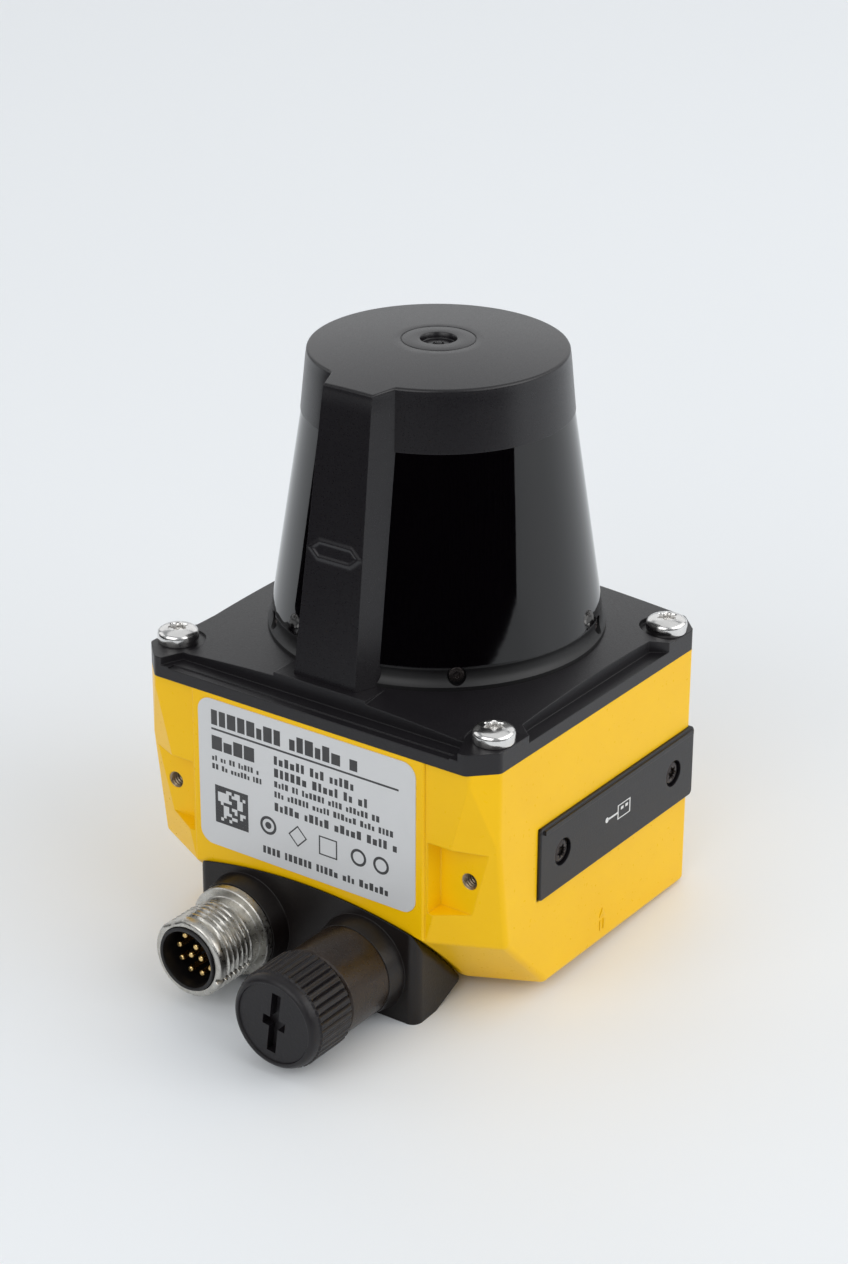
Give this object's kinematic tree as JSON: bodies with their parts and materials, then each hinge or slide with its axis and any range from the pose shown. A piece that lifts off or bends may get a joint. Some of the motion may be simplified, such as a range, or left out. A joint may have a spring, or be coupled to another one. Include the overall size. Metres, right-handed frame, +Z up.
{
  "type": "safety laser scanner",
  "caption": "Compact laser scanner with a cone-shaped black scan hood on a square yellow housing, a service cover and a swivelling connector unit at the rear.",
  "frame": {"origin": "middle of the housing's flat underside", "axes": "+Z up along the scan axis, -Y towards the front that the scan looks along, +Y towards the label and the connectors, -X towards the service cover"},
  "size_m": [0.0619, 0.0776, 0.089],
  "materials": {
    "housing": "satin yellow paint on a die casting",
    "black_matte": "fine matte black moulding",
    "black_window": "polished black plastic, clear to infrared",
    "black_paint": "satin black casting",
    "black_metal": "black coated metal",
    "black_plastic": "matte black plastic",
    "black_steel": "blackened steel",
    "seal_black": "matte rubber",
    "steel": "satin steel",
    "nickel": "nickel plate",
    "gold": "gold plate",
    "brass": "turned",
    "copper": "enamelled wire",
    "alloy": "machined",
    "magnet": "bonded magnet",
    "mirror": "polished front face",
    "lens": "dark red optical plastic",
    "board": "solder mask on fibreglass",
    "chip": "matte black package",
    "socket_white": "moulded",
    "flex": "amber film",
    "light_pipe": "milky light pipe",
    "label": "silver film",
    "cable": "bundled wires in a sleeve"
  },
  "bodies": {
    "scanner": {"housing": "housing", "cover_gasket": "seal_black", "cover_plate": "black_matte", "cover_screws": "steel", "hood_seal": "seal_black", "hood_frame": "black_matte", "hood_window": "black_window", "hood_screws": "black_steel", "motor_base": "alloy", "motor_screws": "steel", "shaft_bearings": "steel", "motor_stator": "steel", "stator_windings": "copper", "encoder_fork": "black_matte", "optics_carrier": "black_matte", "carrier_screws": "steel", "receiver_lens": "lens", "laser_module": "brass", "receiver_board": "board", "detector": "chip", "main_board": "board", "board_screws": "steel", "processor": "chip", "board_header": "chip", "service_socket": "steel", "flex_socket": "socket_white", "motor_flex": "flex", "service_cover": "black_matte", "service_seal": "seal_black", "service_screws": "black_steel", "status_lights": "light_pipe", "light_board": "board", "rear_label": "label", "harness_socket": "socket_white", "wire_harness": "cable"},
    "rotor": {"motor_shaft": "steel", "rotor_cup": "steel", "rotor_magnet": "magnet", "encoder_disc": "black_matte", "mirror_holder": "black_matte", "mirror": "mirror"},
    "connector_unit": {"connector_block": "black_paint", "swivel_seal": "seal_black", "retaining_ring": "steel", "signal_shell": "nickel", "signal_insert": "black_matte", "signal_pins": "gold", "socket_sleeve": "black_metal", "socket_insert": "black_matte", "socket_contacts": "gold"},
    "plug_slide": {"plug_seal": "seal_black"},
    "plug": {"socket_plug": "black_plastic"}
  },
  "joints": [
    {"name": "mirror_spin", "type": "hinge", "parent": "scanner", "child": "rotor", "pos_m": [0, -0.0033, 0.0617], "axis": [0, 0, 1], "continuous": true},
    {"name": "connector_swivel", "type": "hinge", "parent": "scanner", "child": "connector_unit", "pos_m": [0, 0.02278, 0.00547], "axis": [0, 0.7071, -0.7071], "range_deg": [0, 180]},
    {"name": "plug_travel", "type": "slide", "parent": "connector_unit", "child": "plug_slide", "axis": [0, 1, 0], "range_m": [0, 0.008]},
    {"name": "plug_turn", "type": "hinge", "parent": "plug_slide", "child": "plug", "pos_m": [-0.0102, 0.0403, 0.0044], "axis": [0, 1, 0], "range_deg": [0, 2880]}
  ],
  "couplings": [
    {"joint": "plug_travel", "follows": "plug_turn", "m_per_rad": 0.00015915}
  ]
}
